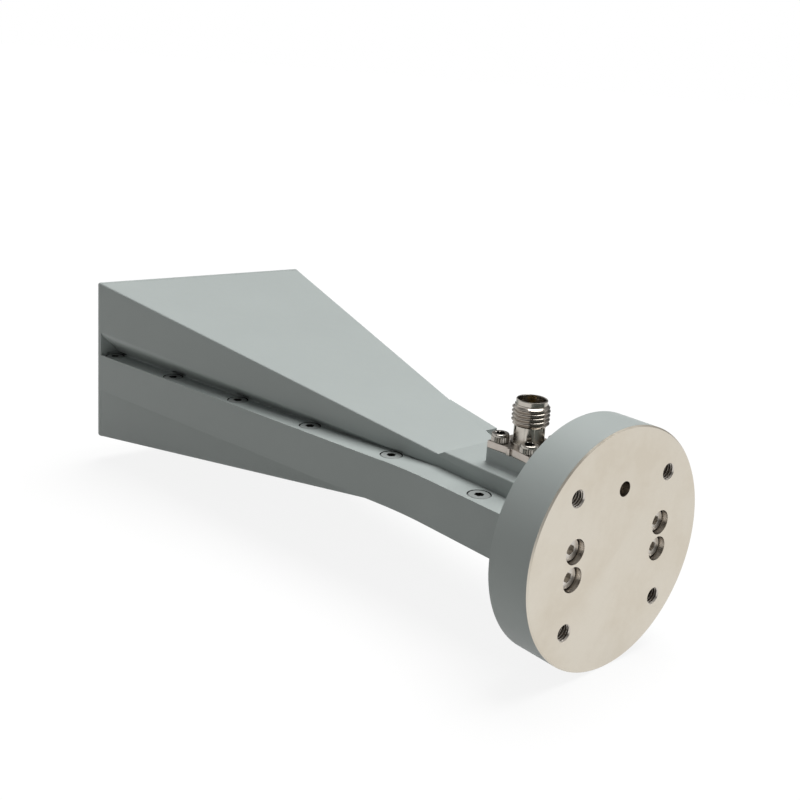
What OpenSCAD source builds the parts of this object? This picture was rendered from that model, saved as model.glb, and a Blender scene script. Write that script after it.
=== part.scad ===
/* [Mounting disc] */
// Diameter of the disc
disc_d = 40; // [38:0.5:48]
// Thickness of the disc
disc_t = 8; // [7:0.25:10]
// Chamfer between the disc's rim and its outer face
rim_chamfer = 0.25; // [0.1:0.05:0.5]
// Distance across the boresight between the tapped mounting holes
mount_pitch_y = 21.6; // [20:0.1:24]
// Vertical distance between the tapped mounting holes
mount_pitch_z = 21.5; // [20:0.1:24]
// Drilled diameter of the tapped mounting holes
mount_tap_d = 2.5; // [2.4:0.05:2.6]
// Diameter of the countersink at the mouth of each mounting hole
mount_sink_d = 2.9; // [2.7:0.05:3.2]
// Diameter of the locating dowel hole
dowel_d = 2.5; // [2:0.05:3]
// Height of the dowel hole above the boresight
dowel_z = 10.05; // [8:0.05:13]

/* [Straight section] */
// Length of the straight section ahead of the disc
straight_l = 26.4; // [25:0.1:32]
// Width of the straight section
block_w = 14.4; // [13:0.1:15]
// Height of its top above the parting plane
block_up = 7.1; // [6.6:0.1:8]
// Radius of its long edges
block_edge_r = 0.25; // [0.15:0.05:0.6]
// Length of the ramp from its top down to the horn
ramp_l = 1.5; // [0.8:0.1:2.5]

/* [Horn] */
// Length from the mounting face to the mouth
antenna_l = 127.2; // [110:0.2:150]
// Outside width of the mouth, before its edge is rounded
mouth_w = 51.58; // [49:0.02:56]
// Height of the mouth's top above the parting plane, before its edge is rounded
mouth_up = 20.23; // [17:0.01:24]
// Depth of the mouth's bottom below the parting plane, before its edge is rounded
mouth_down = 14.88; // [12:0.01:18]
// Radius of the horn's long edges
ridge_r = 0.4; // [0.2:0.05:0.8]
// Radius of the edge round the face of the mouth
mouth_r = 1.5; // [0.5:0.1:1.6]
// Length over which the walls keep their full width behind the mouth
lip_l = 2; // [1.8:0.1:4]
// How far the upper walls are set in at their foot, measured at the lip
foot_in = 3.35; // [1:0.05:3.6]
// Height over which they curve back out to full width, measured at the lip
foot_h = 5.4; // [4:0.1:9]
// Height of the horn's top at the throat
throat_up = 6.25; // [5.6:0.05:6.5]
// Depth of the horn's bottom at the throat
throat_down = 4.9; // [4.6:0.05:6]
// Thickness of the side walls at the mouth
side_wall = 4.8; // [4.5:0.05:5.2]
// Thickness of the top and bottom walls at the mouth
cover_wall = 3; // [1.5:0.1:4]

/* [Waveguide] */
// Broad inside width of the waveguide
guide_a = 7.112; // [6.4:0.001:7.9]
// Narrow inside height of the waveguide
guide_b = 3.556; // [3:0.001:4]
// Solid length between the disc and the closed end of the waveguide
end_wall = 10; // [9.5:0.05:12]
// Distance from the closed end of the waveguide to the probe
probe_gap = 2.65; // [2:0.05:4]
// How far the probe reaches into the waveguide
probe_in = 2.1; // [1:0.05:2.6]

/* [Split flange] */
// Thickness of each half of the split flange
ledge_t = 4; // [3.6:0.05:5]
// Width across the flange along the straight section
ledge_w = 25.6; // [24.5:0.1:27]
// Distance from the throat to the bend in the flange's outline
ledge_bend = 1.8; // [0.5:0.1:6]
// Radius of that bend
ledge_bend_r = 80; // [40:1:100]
// Distance from the throat to the shoulder on the far side
shoulder_in = 3.9; // [2.5:0.1:6]
// Distance from the boresight to the shoulder's outer side
shoulder_y = 10.6; // [9.4:0.1:11.5]
// How far the shoulder lies below the horn's top beside it
shoulder_drop = 0.03; // [0.02:0.01:0.2]

/* [M2 screws] */
// Thread diameter
m2_d = 2; // [1.8:0.05:2.2]
// Diameter of the head
m2_head_d = 3.8; // [3.5:0.05:4]
// Height of the head
m2_head_h = 2; // [1.7:0.05:2.2]
// Width across the flats of the socket
m2_hex = 1.5; // [1.2:0.05:1.7]
// Clearance on diameter between a head and its counterbore
head_gap = 0.3; // [0.1:0.02:0.34]
// Clearance on diameter between a thread and its through hole
shank_gap = 0.3; // [0.1:0.05:0.4]
// Depth of a tapped hole beyond the screw's tip
tip_gap = 0.5; // [0.2:0.05:0.8]

/* [Screw positions] */
// Screws along each side of the horn
row_count = 5; // [3:1:6]
// Distance from the throat to the first of them
row_start = 8.6; // [7:0.1:12]
// Distance from the mouth to the last of them
row_end = 3.8; // [3:0.05:7]
// Distance from the first of them to the flange's edge
inset_start = 3.36; // [3.1:0.02:3.6]
// Distance from the last of them to the flange's edge
inset_end = 2.18; // [2.15:0.01:2.6]
// Distance from the disc to the screw beside the connector
rear_screw = 13.2; // [10:0.1:17]
// Distance from that screw to the flange's edge
rear_inset = 2.93; // [2.3:0.01:3.3]
// Height of the pocket that each counterbore cuts into the wall above it
pocket_h = 0.6; // [0.3:0.1:2.5]
// Depth to which the disc's screw heads are sunk
disc_head_sink = 1; // [0.2:0.1:2]
// Length of thread that the disc's screws have in the flange
disc_screw_in = 5; // [3:0.5:6]
// Distance from the disc's screws to the flange's edge
disc_screw_inset = 2.6; // [2.2:0.05:3.1]
// Vertical distance between the disc's screws
disc_screw_pitch = 4.5; // [4.3:0.05:4.9]
// Thickness left below the tapped holes of the flange
ledge_floor = 0.5; // [0.3:0.05:0.8]

/* [Alignment pins] */
// Diameter of the pins that align the two shells
pin_d = 1.5; // [1:0.05:2]
// Length of the pins
pin_l = 5; // [3:0.25:6]
// Distance from the disc to the pins
pin_x = 20.4; // [18:0.1:24]

/* [Connector] */
// Side of the square flange plate and of the pedestal below it
plate_w = 9.5; // [9.2:0.05:10.5]
// Thickness of the flange plate
plate_t = 1.2; // [0.8:0.05:2]
// Height of the pedestal above the straight section
pedestal_h = 2.75; // [1.5:0.05:4]
// Radius of the fillet round the pedestal's foot
pedestal_fillet = 0.6; // [0.3:0.05:1.2]
// Width of the notch in the plate's edge
notch_w = 0.8; // [0.4:0.05:1.2]
// Depth of the notch in the plate's edge
notch_d = 0.35; // [0.2:0.05:0.5]
// Diameter of the boss on the plate
boss_d = 6; // [5.6:0.05:6.2]
// Height of the boss
boss_h = 0.45; // [0.2:0.05:0.8]
// Diameter of the neck
neck_d = 5.2; // [4.9:0.05:5.6]
// Width across the neck's flats
neck_flat = 4.4; // [4.3:0.05:4.8]
// Length of the neck
neck_l = 2.9; // [2.2:0.05:4]
// Diameter of the coupling thread
thread_d = 6.35; // [6:0.05:7]
// Length of the coupling thread
thread_l = 3.55; // [3:0.05:6]
// Diameter of the rim ahead of the thread
rim_d = 5.25; // [5.1:0.05:5.6]
// Length of the rim
rim_l = 0.85; // [0.5:0.05:1.5]
// Diameter of the socket's mouth
socket_d = 4.7; // [4.3:0.05:4.8]
// Depth of the socket's mouth
socket_deep = 1.95; // [1.2:0.05:2.6]
// Diameter of the air line behind the socket's mouth
airline_d = 2.92; // [2.4:0.02:3]

/* [Connector screws] */
// Distance between the screws along each side of the plate
conn_pitch = 6.6; // [6.4:0.05:6.8]
// Thread diameter
conn_screw_d = 1.6; // [1.4:0.05:1.8]
// Diameter of the head
conn_head_d = 3; // [2.6:0.05:3.1]
// Height of the head
conn_head_h = 1.5; // [1.3:0.05:2.2]
// Width across the flats of the socket
conn_hex = 1.3; // [1:0.05:1.5]
// Length below the head
conn_screw_l = 4; // [3:0.5:5]

/* [Inner conductor] */
// Diameter of the probe
probe_d = 0.6; // [0.4:0.02:0.8]
// Diameter of the dielectric sleeve in the straight section
sleeve_d = 2; // [1.6:0.02:2.4]
// Diameter of the sleeve's collar and of the support bead
bead_d = 3.2; // [3.1:0.02:3.6]
// Thickness of the support bead
bead_t = 1; // [0.6:0.05:1.4]
// Height of the sleeve's collar
collar_h = 2.55; // [2:0.05:3]
// Diameter of the centre contact
contact_d = 1.27; // [1:0.01:1.5]
// Diameter of the contact's bore
contact_bore = 0.92; // [0.7:0.01:0.95]
// Depth of the contact's bore and slots
contact_deep = 2.2; // [1.5:0.1:3]
// Width of the contact's slots
contact_slot = 0.18; // [0.1:0.01:0.25]
// Distance from the rim's end to the contact's end
contact_back = 1.1; // [0.6:0.05:2]

/* [Hidden] */
$fn = 64;
// Overrun of a cutting tool past the face that it opens
cut = 0.5;
// Thickness of the end sections between which the horn is lofted
loft_t = 0.01;
// Number of chords along the bend in the flange's outline
bend_steps = 10;
// Step from the lip down to the walls behind it, and how far those walls run on inside the lip
seam = 0.02;
seam_lap = 0.3;
// Number of chords along the curved foot of a wall and round the mouth's edge
round_steps = 6;
// Depth of the hexagonal socket as a part of the head's height
hex_share = 0.55;
// Chamfer on the end of a screw, a head or a pin
end_chamfer = 0.15;

// Positions along the boresight
throat_x = disc_t + straight_l;
short_x = disc_t + end_wall;
probe_x = short_x + probe_gap;
bend_x = throat_x + ledge_bend;

// Half widths and slopes in plan
rear_y = ledge_w / 2;
mouth_y = mouth_w / 2;
lip_x = antenna_l - lip_l;

// Value at x of a size that grows evenly from the throat to the mouth
function flare(x, at_throat, at_mouth) =
    at_throat + (at_mouth - at_throat) * (x - throat_x) / (antenna_l - throat_x);
// Half width and heights of the horn's outside at x
function side_y(x) = flare(x, block_w / 2, mouth_y);
function top_up(x) = flare(x, throat_up, mouth_up);
function bottom_down(x) = flare(x, throat_down, mouth_down);

// Outline of the flange: it reaches the horn's full width where the lip begins
edge_slope = (side_y(lip_x) - rear_y) / (lip_x - bend_x);
edge_angle = atan(edge_slope);
function edge_y(x) = rear_y + edge_slope * (x - bend_x);

// Where the shoulder starts, and where the far wall has come out to its outer side
shoulder_x = throat_x + shoulder_in;
merge_x = throat_x + (shoulder_y - block_w / 2) * (antenna_l - throat_x) / (mouth_y - block_w / 2);

// Screws along the flange, from the throat to the mouth, and the one beside the connector
row_first = [throat_x + row_start, edge_y(throat_x + row_start) - inset_start];
row_last = [antenna_l - row_end, edge_y(antenna_l - row_end) - inset_end];
row = [for (i = [0:row_count - 1]) row_first + (row_last - row_first) * i / (row_count - 1)];
ledge_points = concat([[disc_t + rear_screw, rear_y - rear_inset]], row);
// On the far side the screws under the shoulder enter from below
function covered(p) =
    p[0] > shoulder_x - m2_head_d / 2 - head_gap && p[0] < merge_x + m2_head_d / 2 + head_gap;
covered_points = [for (p = ledge_points) if (covered(p)) p];
open_points = [for (p = ledge_points) if (!covered(p)) p];
ledge_seat = ledge_t - m2_head_h;
ledge_tap = ledge_t - ledge_floor;

// Heights on the connector's axis
pedestal_z = block_up + pedestal_h;
plate_z = pedestal_z + plate_t;
neck_z = plate_z + boss_h;
thread_z = neck_z + neck_l;
rim_z = thread_z + thread_l;
top_z = rim_z + rim_l;
bead_z = pedestal_z + collar_h;

// Turns a drawing so that its x and y run along Y and Z and its height along X
module along_x() {
    rotate([90, 0, 90]) children();
}

// Upper half of a cross section, flat on the parting plane and round at its two corners
module half_section(w, h, r) {
    translate([-w / 2, 0]) square([w, h - r]);
    translate([r - w / 2, 0]) square([w - 2 * r, h]);
    for (side = [-1, 1]) translate([side * (w / 2 - r), h - r]) circle(r = r, $fn = 24);
}

// Cross section above the flange: it widens from its foot along an arc that ends upright
module footed_section(half_w, foot_y, foot_top, h) {
    set_in = half_w - foot_y;
    rise = foot_top - ledge_t;
    arc_r = (set_in * set_in + rise * rise) / (2 * set_in);
    arc_a = asin(rise / arc_r);
    foot = [
        for (i = [0:round_steps])
            let (a = arc_a * (1 - i / round_steps))
                [half_w - arc_r * (1 - cos(a)), foot_top - arc_r * sin(a)]
    ];
    mirrored = [for (i = [round_steps:-1:0]) [-foot[i][0], foot[i][1]]];
    polygon(concat(mirrored, foot));
    translate([0, ledge_t]) half_section(2 * foot_y, h - ledge_t - ridge_r, ridge_r / 2);
    translate([0, foot_top]) half_section(2 * half_w, h - foot_top, ridge_r);
}

module section_at(x) {
    translate([x, 0, 0]) along_x() linear_extrude(loft_t) children();
}

// Upper walls, lofted from the throat to the lip over a foot that is set in more and more
module horn_upper() {
    x = lip_x + seam_lap;
    half_w = side_y(x) - seam;
    hull() {
        section_at(throat_x) translate([0, ledge_t])
            half_section(block_w, throat_up - ledge_t, ridge_r);
        section_at(x) footed_section(half_w, half_w - foot_in, ledge_t + foot_h, top_up(x) - seam);
    }
}

// Lower walls, drawn above the parting plane and mirrored where they are used
module horn_lower() {
    x = lip_x + seam_lap;
    half_w = side_y(x) - seam;
    hull() {
        section_at(throat_x) translate([0, ledge_t])
            half_section(block_w, throat_down - ledge_t, ridge_r);
        section_at(x) translate([0, ledge_t])
            half_section(2 * half_w, bottom_down(x) - seam - ledge_t, ridge_r);
    }
}

// Lip at the mouth, with its outer edge rounded towards the mouth's face
module lip(at_throat, at_mouth) {
    hull() {
        section_at(lip_x)
            half_section(2 * side_y(lip_x), flare(lip_x, at_throat, at_mouth), ridge_r);
        for (i = [0:round_steps]) {
            a = 90 * i / round_steps;
            x = antenna_l - mouth_r * (1 - sin(a)) - loft_t;
            inset = mouth_r * (1 - cos(a));
            section_at(x) half_section(
                2 * (side_y(x) - inset), flare(x, at_throat, at_mouth) - inset, ridge_r
            );
        }
    }
}

// Straight section above the parting plane, with the ramp down to the horn
module block_upper() {
    lap_x = throat_x + cut;
    intersection() {
        translate([disc_t, 0, 0]) along_x() linear_extrude(lap_x - disc_t)
            half_section(block_w, block_up, block_edge_r);
        rotate([90, 0, 0]) linear_extrude(block_w + 2 * cut, center = true)
            polygon([
                [disc_t - cut, -cut], [lap_x + cut, -cut], [lap_x + cut, throat_up],
                [throat_x, throat_up], [throat_x - ramp_l, block_up], [throat_x - ramp_l, block_up + cut],
                [disc_t - cut, block_up + cut]
            ]);
    }
}

module block_lower() {
    mirror([0, 0, 1]) translate([disc_t, 0, 0]) along_x()
        linear_extrude(straight_l + cut) half_section(block_w, throat_down, block_edge_r);
}

// Outline of the flange in plan: parallel, bent by an arc, then straight to the lip
module flange_outline() {
    lap = (lip_l - mouth_r) / 2;
    tangent = ledge_bend_r * tan(edge_angle / 2);
    arc = [
        for (i = [0:bend_steps])
            [bend_x - tangent + ledge_bend_r * sin(edge_angle * i / bend_steps),
             rear_y + ledge_bend_r * (1 - cos(edge_angle * i / bend_steps))]
    ];
    near = concat([[disc_t, rear_y]], arc, [[lip_x, side_y(lip_x)], [lip_x + lap, side_y(lip_x)]]);
    far = [for (i = [len(near) - 1:-1:0]) [near[i][0], -near[i][1]]];
    polygon(concat(near, far));
}

// Waveguide and flared inside as one cavity, from the closed end out past the mouth
module cavity() {
    out_x = antenna_l + cut;
    intersection() {
        rotate([90, 0, 0]) linear_extrude(mouth_w, center = true)
            polygon([
                [short_x, -guide_b / 2], [throat_x, -guide_b / 2],
                [out_x, -flare(out_x, guide_b / 2, mouth_down - cover_wall)],
                [out_x, flare(out_x, guide_b / 2, mouth_up - cover_wall)],
                [throat_x, guide_b / 2], [short_x, guide_b / 2]
            ]);
        translate([0, 0, -mouth_down]) linear_extrude(mouth_down + mouth_up)
            polygon([
                [short_x, -guide_a / 2], [throat_x, -guide_a / 2],
                [out_x, -flare(out_x, guide_a / 2, mouth_y - side_wall)],
                [out_x, flare(out_x, guide_a / 2, mouth_y - side_wall)],
                [throat_x, guide_a / 2], [short_x, guide_a / 2]
            ]);
    }
}

// Shoulder on the far side, level with the horn's top from its end face to where the wall meets it
module shoulder() {
    intersection() {
        linear_extrude(mouth_up) polygon([
            [shoulder_x, ridge_r - side_y(shoulder_x)], [merge_x, ridge_r - shoulder_y],
            [merge_x, -shoulder_y], [shoulder_x, -shoulder_y]
        ]);
        rotate([90, 0, 0]) linear_extrude(mouth_w, center = true) polygon([
            [throat_x, 0], [merge_x + cut, 0], [merge_x + cut, top_up(merge_x + cut) - shoulder_drop],
            [throat_x, throat_up - shoulder_drop]
        ]);
    }
}

// Screws that enter from above, then those that enter from below
module at_top_screws() {
    for (p = ledge_points) translate([p[0], p[1], 0]) children();
    for (p = open_points) translate([p[0], -p[1], 0]) children();
}

module at_bottom_screws() {
    for (p = covered_points) translate([p[0], -p[1], 0]) mirror([0, 0, 1]) children();
}

// Counterbore and through hole for a screw that enters from above
module head_hole() {
    translate([0, 0, ledge_seat]) cylinder(d = m2_head_d + head_gap, h = m2_head_h + pocket_h);
    translate([0, 0, -cut]) cylinder(d = m2_d + shank_gap, h = cut + ledge_t);
}

module thread_hole() {
    translate([0, 0, -ledge_tap]) cylinder(d = m2_d, h = ledge_tap + cut);
}

module at_disc_screws(x) {
    for (y = [-1, 1], z = [-1, 1])
        translate([x, y * (rear_y - disc_screw_inset), z * disc_screw_pitch / 2])
            rotate([0, 90, 0]) children();
}

module at_connector_screws(z) {
    for (x = [-1, 1], y = [-1, 1])
        translate([probe_x + x * conn_pitch / 2, y * conn_pitch / 2, z]) children();
}

module at_pins() {
    for (side = [-1, 1])
        translate([disc_t + pin_x, side * (rear_y - rear_inset), 0]) children();
}

// Socket-head screw: the seat of its head lies at z = 0 and its tip at z = -l
module socket_screw(d, l, head_d, head_h, hex) {
    difference() {
        union() {
            translate([0, 0, -l]) cylinder(d1 = d - 2 * end_chamfer, d2 = d, h = end_chamfer);
            translate([0, 0, end_chamfer - l]) cylinder(d = d, h = l);
            cylinder(d = head_d, h = head_h - end_chamfer);
            translate([0, 0, head_h - end_chamfer])
                cylinder(d1 = head_d, d2 = head_d - 2 * end_chamfer, h = end_chamfer);
        }
        translate([0, 0, head_h * (1 - hex_share)])
            cylinder(d = hex / cos(30), h = head_h, $fn = 6);
    }
}

// Tapped holes and pin holes that both shells have
module shared_holes() {
    at_disc_screws(disc_t - cut) cylinder(d = m2_d, h = cut + disc_screw_in + tip_gap);
    at_pins() cylinder(d = pin_d, h = pin_l + 2 * end_chamfer, center = true);
}

// Pedestal with a fillet round its foot: two crossed extrusions of one outline
module pedestal() {
    translate([probe_x, 0, block_up - cut]) intersection() {
        for_side(0);
        for_side(90);
    }
}

module for_side(turn) {
    foot_w = plate_w + 2 * pedestal_fillet;
    rotate([90, 0, turn]) linear_extrude(foot_w, center = true) difference() {
        union() {
            translate([-plate_w / 2, 0]) square([plate_w, cut + pedestal_h]);
            translate([-foot_w / 2, 0]) square([foot_w, cut + pedestal_fillet]);
        }
        for (side = [-1, 1]) translate([side * foot_w / 2, cut + pedestal_fillet])
            circle(r = pedestal_fillet);
    }
}

module mounting_disc() {
    color([0.80, 0.77, 0.72]) difference() {
        rotate([0, 90, 0]) rotate_extrude($fn = 128) polygon([
            [0, 0], [disc_d / 2 - rim_chamfer, 0], [disc_d / 2, rim_chamfer],
            [disc_d / 2, disc_t], [0, disc_t]
        ]);
        for (y = [-1, 1], z = [-1, 1])
            translate([-cut, y * mount_pitch_y / 2, z * mount_pitch_z / 2]) rotate([0, 90, 0]) {
                cylinder(d = mount_tap_d, h = disc_t + 2 * cut);
                cylinder(d1 = mount_sink_d + 2 * cut, d2 = mount_tap_d, h = cut + (mount_sink_d - mount_tap_d) / 2);
            }
        translate([-cut, 0, dowel_z]) rotate([0, 90, 0]) cylinder(d = dowel_d, h = disc_t + 2 * cut);
        at_disc_screws(-cut) {
            cylinder(d = m2_head_d + head_gap, h = cut + disc_head_sink + m2_head_h);
            cylinder(d = m2_d + shank_gap, h = disc_t + 2 * cut);
        }
    }
}

module upper_shell() {
    color([0.66, 0.68, 0.67]) difference() {
        union() {
            block_upper();
            shoulder();
            horn_upper();
            lip(throat_up, mouth_up);
            linear_extrude(ledge_t) flange_outline();
            pedestal();
        }
        cavity();
        at_top_screws() head_hole();
        at_bottom_screws() thread_hole();
        shared_holes();
        at_connector_screws(plate_z - conn_screw_l - tip_gap)
            cylinder(d = conn_screw_d, h = conn_screw_l + tip_gap);
        translate([probe_x, 0, 0]) cylinder(d = sleeve_d, h = pedestal_z + cut);
    }
}

module lower_shell() {
    color([0.60, 0.62, 0.61]) difference() {
        union() {
            block_lower();
            mirror([0, 0, 1]) {
                horn_lower();
                lip(throat_down, mouth_down);
            }
            translate([0, 0, -ledge_t]) linear_extrude(ledge_t) flange_outline();
        }
        cavity();
        at_top_screws() thread_hole();
        at_bottom_screws() head_hole();
        shared_holes();
    }
}

module ledge_screws() {
    color([0.55, 0.57, 0.56]) {
        at_top_screws() ledge_screw();
        at_bottom_screws() ledge_screw();
    }
}

module ledge_screw() {
    translate([0, 0, ledge_seat])
        socket_screw(m2_d, ledge_seat + ledge_tap - tip_gap, m2_head_d, m2_head_h, m2_hex);
}

module disc_screws() {
    seat_x = disc_head_sink + m2_head_h;
    color([0.72, 0.71, 0.69]) at_disc_screws(seat_x) mirror([0, 0, 1])
        socket_screw(m2_d, disc_t - seat_x + disc_screw_in, m2_head_d, m2_head_h, m2_hex);
}

module alignment_pins() {
    color([0.70, 0.70, 0.70]) at_pins() rotate_extrude() polygon([
        [0, -pin_l / 2], [pin_d / 2 - end_chamfer, -pin_l / 2], [pin_d / 2, end_chamfer - pin_l / 2],
        [pin_d / 2, pin_l / 2 - end_chamfer], [pin_d / 2 - end_chamfer, pin_l / 2], [0, pin_l / 2]
    ]);
}

// Flange plate, boss, flatted neck, coupling thread and rim, bored from both ends
module connector_body() {
    color([0.78, 0.77, 0.74]) translate([probe_x, 0, 0]) difference() {
        union() {
            translate([-plate_w / 2, -plate_w / 2, pedestal_z]) cube([plate_w, plate_w, plate_t]);
            translate([0, 0, pedestal_z]) cylinder(d = boss_d, h = plate_t + boss_h);
            translate([0, 0, plate_z]) intersection() {
                cylinder(d = neck_d, h = boss_h + neck_l + cut);
                translate([-neck_flat / 2, -neck_flat / 2, 0])
                    cube([neck_flat, neck_flat, boss_h + neck_l + cut]);
            }
            translate([0, 0, thread_z]) cylinder(d = thread_d, h = thread_l);
            translate([0, 0, thread_z]) cylinder(d = rim_d, h = thread_l + rim_l);
        }
        translate([0, 0, top_z - socket_deep]) cylinder(d = socket_d, h = socket_deep + cut);
        translate([0, 0, bead_z]) cylinder(d = airline_d, h = top_z - bead_z);
        translate([0, 0, pedestal_z - cut]) cylinder(d = bead_d, h = cut + collar_h + bead_t);
        translate([-notch_w / 2, plate_w / 2 - notch_d, pedestal_z - cut])
            cube([notch_w, notch_d + cut, plate_t + 2 * cut]);
        translate([-probe_x, 0, 0]) at_connector_screws(pedestal_z - cut)
            cylinder(d = conn_screw_d + shank_gap, h = plate_t + 2 * cut);
    }
}

module connector_screws() {
    color([0.75, 0.74, 0.71]) at_connector_screws(plate_z)
        socket_screw(conn_screw_d, conn_screw_l, conn_head_d, conn_head_h, conn_hex);
}

module support_bead() {
    color([0.90, 0.88, 0.80]) translate([probe_x, 0, bead_z]) difference() {
        cylinder(d = bead_d, h = bead_t);
        translate([0, 0, -cut]) cylinder(d = contact_d, h = bead_t + 2 * cut);
    }
}

module dielectric_sleeve() {
    color([0.95, 0.95, 0.92]) translate([probe_x, 0, 0]) difference() {
        union() {
            translate([0, 0, guide_b / 2]) cylinder(d = sleeve_d, h = bead_z - guide_b / 2);
            translate([0, 0, pedestal_z]) cylinder(d = bead_d, h = collar_h);
        }
        cylinder(d = probe_d, h = bead_z + cut);
    }
}

// Socket contact with crossed slots
module centre_contact() {
    end_z = top_z - contact_back;
    color([0.83, 0.69, 0.35]) translate([probe_x, 0, 0]) difference() {
        translate([0, 0, bead_z]) cylinder(d = contact_d, h = end_z - bead_z);
        translate([0, 0, end_z - contact_deep]) {
            cylinder(d = contact_bore, h = contact_deep + cut);
            for (turn = [0, 90]) rotate([0, 0, turn])
                translate([-contact_d, -contact_slot / 2, 0])
                    cube([2 * contact_d, contact_slot, contact_deep + cut]);
        }
    }
}

module launch_probe() {
    tip_z = guide_b / 2 - probe_in;
    color([0.83, 0.69, 0.35]) translate([probe_x, 0, tip_z]) cylinder(d = probe_d, h = bead_z - tip_z);
}

mounting_disc();
upper_shell();
lower_shell();
ledge_screws();
disc_screws();
alignment_pins();
connector_body();
connector_screws();
support_bead();
dielectric_sleeve();
centre_contact();
launch_probe();
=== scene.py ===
# %% [markdown]
# # A small horn antenna
# The antenna is two painted aluminium shells closed by a row of small screws, a thick round
# mounting disc with a bare turned face, and a stainless coaxial connector that feeds the
# waveguide inside. The frame below is the measured model: every piece made here takes its
# place from it, so nothing has to be fitted by eye.

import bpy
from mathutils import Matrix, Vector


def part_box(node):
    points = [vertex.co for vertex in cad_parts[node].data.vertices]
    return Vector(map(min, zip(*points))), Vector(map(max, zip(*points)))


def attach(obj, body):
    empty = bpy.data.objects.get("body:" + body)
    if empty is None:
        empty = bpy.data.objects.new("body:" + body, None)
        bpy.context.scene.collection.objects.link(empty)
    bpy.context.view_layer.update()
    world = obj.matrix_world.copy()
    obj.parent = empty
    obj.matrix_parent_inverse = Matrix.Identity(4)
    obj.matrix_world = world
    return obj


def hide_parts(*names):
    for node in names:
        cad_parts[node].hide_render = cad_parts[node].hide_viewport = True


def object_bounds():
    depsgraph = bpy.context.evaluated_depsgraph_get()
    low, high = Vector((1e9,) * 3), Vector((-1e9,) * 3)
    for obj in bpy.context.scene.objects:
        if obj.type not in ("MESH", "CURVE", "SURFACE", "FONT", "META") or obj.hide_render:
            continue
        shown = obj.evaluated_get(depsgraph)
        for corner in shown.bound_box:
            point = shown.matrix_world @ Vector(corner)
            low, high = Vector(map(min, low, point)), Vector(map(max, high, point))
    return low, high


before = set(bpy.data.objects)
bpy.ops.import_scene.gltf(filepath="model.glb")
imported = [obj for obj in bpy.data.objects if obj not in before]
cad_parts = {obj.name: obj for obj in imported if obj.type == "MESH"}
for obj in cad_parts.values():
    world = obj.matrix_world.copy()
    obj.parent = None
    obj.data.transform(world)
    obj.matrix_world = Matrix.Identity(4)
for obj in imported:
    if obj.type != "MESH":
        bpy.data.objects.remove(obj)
cad_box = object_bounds()
print("frame nodes:", sorted(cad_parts))

# %% Tools and units
import math

import bmesh
import bpy
from mathutils import Matrix, Vector

MM = 0.001
BODY = "root"
collection = bpy.context.scene.collection
box_size = cad_box[1] - cad_box[0]
print("box in mm:", [round(side / MM, 2) for side in box_size])

# %% [markdown]
# ## The camera
# A product shot this close is taken from behind and above the antenna's left side, with the
# picture plane a little rolled. The camera is placed by its position and by three directions:
# where it looks, what is right in the picture and what is up. Its angles are in radians. A
# small shift frames the object without turning the camera, so the vertical edges keep their
# slant.

# %% Place the camera
CAMERA_PLACE = Vector((-94.281, 126.891, 68.374)) * MM
CAMERA_HEADING = 0.765
CAMERA_DIP = 0.233
CAMERA_ROLL = -0.080
CAMERA_LENS = 48.872
CAMERA_SENSOR = 36
CAMERA_SHIFT = (-0.0799, -0.0760)
CLIP_NEAR, CLIP_FAR = 0.005, 1000

look = Vector((
    math.cos(CAMERA_DIP) * math.cos(CAMERA_HEADING),
    -math.cos(CAMERA_DIP) * math.sin(CAMERA_HEADING),
    -math.sin(CAMERA_DIP),
))
level_right = look.cross(Vector((0, 0, 1))).normalized()
level_down = look.cross(level_right)
right = math.cos(CAMERA_ROLL) * level_right + math.sin(CAMERA_ROLL) * level_down
down = -math.sin(CAMERA_ROLL) * level_right + math.cos(CAMERA_ROLL) * level_down

camera_data = bpy.data.cameras.new("camera")
camera_data.lens = CAMERA_LENS
camera_data.sensor_width = CAMERA_SENSOR
camera_data.shift_x, camera_data.shift_y = CAMERA_SHIFT
camera_data.clip_start, camera_data.clip_end = CLIP_NEAR, CLIP_FAR
camera = bpy.data.objects.new("camera", camera_data)
collection.objects.link(camera)
camera_turn = Matrix((right, -down, -look)).transposed()
camera.matrix_world = Matrix.Translation(CAMERA_PLACE) @ camera_turn.to_4x4()
bpy.context.scene.camera = camera
print("camera looks along", [round(c, 3) for c in look])

# %% [markdown]
# ## Node helpers
# A finish, a floor and a sky are each a tree of nodes joined at their sockets. A socket holds
# a plain value or takes another node's output, and the mixing helpers accept either, so each
# tree below stays a few lines long.

# %% Helpers for node trees
WHITE = (1, 1, 1, 1)
COLOR_A, COLOR_B, COLOR_OUT = 6, 7, 2


def new_material(name):
    material = bpy.data.materials.new(name)
    material.use_nodes = True
    material.node_tree.nodes.clear()
    return material


def add_node(owner, kind, **settings):
    node = owner.node_tree.nodes.new(kind)
    for key, value in settings.items():
        setattr(node, key, value)
    return node


def join(owner, source, target):
    owner.node_tree.links.new(source, target)


def feed(owner, value, socket):
    """Sets the socket to a plain value, or joins it to another node's output."""
    if isinstance(value, bpy.types.NodeSocket):
        join(owner, value, socket)
    else:
        socket.default_value = value


def plain_shader(owner, kind, color):
    node = add_node(owner, kind)
    feed(owner, color, node.inputs["Color"])
    return node.outputs[0]


def mix_shaders(owner, factor, first, second):
    node = add_node(owner, "ShaderNodeMixShader")
    feed(owner, factor, node.inputs["Fac"])
    join(owner, first, node.inputs[1])
    join(owner, second, node.inputs[2])
    return node.outputs[0]


def mix_colors(owner, factor, first, second):
    node = add_node(owner, "ShaderNodeMix", data_type="RGBA")
    feed(owner, factor, node.inputs["Factor"])
    feed(owner, first, node.inputs[COLOR_A])
    feed(owner, second, node.inputs[COLOR_B])
    return node.outputs[COLOR_OUT]


print("node helpers made")

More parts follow.
